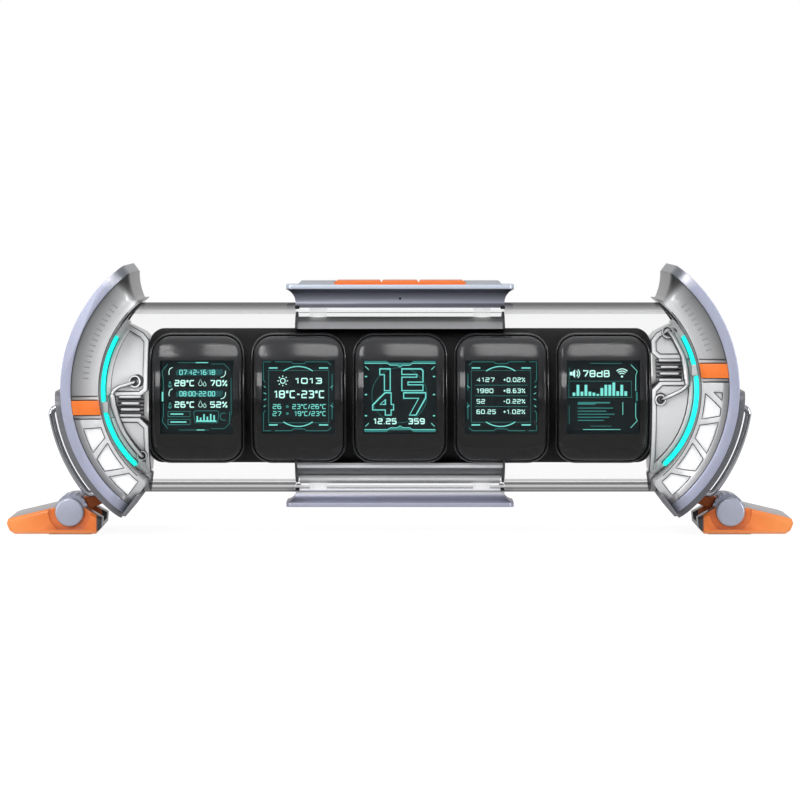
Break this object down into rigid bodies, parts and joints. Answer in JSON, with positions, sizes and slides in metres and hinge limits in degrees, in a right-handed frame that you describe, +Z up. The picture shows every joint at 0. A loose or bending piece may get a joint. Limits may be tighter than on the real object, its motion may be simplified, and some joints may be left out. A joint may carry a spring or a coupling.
{
  "type": "pixel clock",
  "caption": "Desk clock with a row of square screens in a clear tube between two flared end caps, with push keys on top and folding feet.",
  "frame": {"origin": "on the table, under the middle of the clear tube", "axes": "+X along the tube to the viewer's right, -Y out of the screens, +Z up"},
  "size_m": [0.2572, 0.07, 0.0883],
  "materials": {
    "clear_plastic": "clear polished acrylic",
    "black_satin": "satin black moulded plastic",
    "carrier_grey": "matt dark grey moulded plastic",
    "smoked_lens": "smoked glossy polycarbonate",
    "display": "lit display module",
    "lavender_metal": "satin pale lavender-grey metallic lacquer",
    "silver_satin": "satin silver metallic lacquer",
    "pearl_insert": "pale pearl moulded plastic",
    "cyan_light": "edge-lit cyan light guide",
    "orange": "satin orange lacquer",
    "dark_arm": "dark bronze lacquer",
    "chrome": "bright polished plating",
    "hinge_metal": "turned satin aluminium",
    "strap_metal": "satin mid-grey metallic lacquer",
    "cap_grey": "satin grey moulded plastic",
    "milky_pane": "milky white plastic",
    "rubber": "black rubber",
    "steel": "plain steel",
    "board_green": "solder-masked circuit board",
    "buzzer_black": "matt black plastic"
  },
  "bodies": {
    "clock": {"clear_tube": "clear_plastic", "screen_housing": "black_satin", "rear_cover": "black_satin", "core_carrier": "carrier_grey", "lens_1": "smoked_lens", "lens_2": "smoked_lens", "lens_3": "smoked_lens", "lens_4": "smoked_lens", "lens_5": "smoked_lens", "display_1": "display", "display_2": "display", "display_3": "display", "display_4": "display", "display_5": "display", "cap_plate_left": "lavender_metal", "cap_plate_right": "lavender_metal", "top_ridge": "lavender_metal", "bottom_ridge": "lavender_metal", "cap_flare_left": "silver_satin", "cap_flare_right": "silver_satin", "face_insert_left": "pearl_insert", "face_insert_right": "pearl_insert", "light_guides_left": "cyan_light", "light_guides_right": "cyan_light", "accent_bar_left": "orange", "accent_bar_right": "orange", "hinge_arm_left": "dark_arm", "hinge_arm_right": "dark_arm", "chrome_pipe_left": "chrome", "chrome_pipe_right": "chrome", "guard_wires_left": "chrome", "guard_wires_right": "chrome", "pipe_ferrules": "chrome", "fin_stack_left": "chrome", "fin_stack_right": "chrome", "contact_blocks": "chrome", "hinge_barrels": "hinge_metal", "outer_strap_left": "strap_metal", "outer_strap_right": "strap_metal", "top_cap": "cap_grey", "window_panes": "milky_pane", "tube_gaskets": "rubber", "ridge_grommets": "rubber", "ridge_screws": "steel", "strap_screws": "steel", "usb_socket": "steel", "mic_capsule": "steel", "main_board": "board_green", "buzzer": "buzzer_black"},
    "left_foot": {"foot_left": "orange", "hinge_pin_left": "steel", "hinge_discs_left": "hinge_metal", "foot_pad_left": "rubber"},
    "right_foot": {"foot_right": "orange", "hinge_pin_right": "steel", "hinge_discs_right": "hinge_metal", "foot_pad_right": "rubber"},
    "left_key": {"key_left": "orange"},
    "centre_key": {"key_centre": "orange"},
    "right_key": {"key_right": "orange"}
  },
  "joints": [
    {"name": "left_foot_fold", "type": "hinge", "parent": "clock", "child": "left_foot", "pos_m": [-0.108, 0, 0.0075], "axis": [0, 1, 0], "range_deg": [0, 70]},
    {"name": "right_foot_fold", "type": "hinge", "parent": "clock", "child": "right_foot", "pos_m": [0.108, 0, 0.0075], "axis": [0, -1, 0], "range_deg": [0, 70]},
    {"name": "left_key_press", "type": "slide", "parent": "clock", "child": "left_key", "axis": [0, 0, -1], "range_m": [0, 0.0006], "stiffness_N_per_m": 1500, "springref_m": -0.0005},
    {"name": "centre_key_press", "type": "slide", "parent": "clock", "child": "centre_key", "axis": [0, 0, -1], "range_m": [0, 0.0006], "stiffness_N_per_m": 1500, "springref_m": -0.0005},
    {"name": "right_key_press", "type": "slide", "parent": "clock", "child": "right_key", "axis": [0, 0, -1], "range_m": [0, 0.0006], "stiffness_N_per_m": 1500, "springref_m": -0.0005}
  ]
}
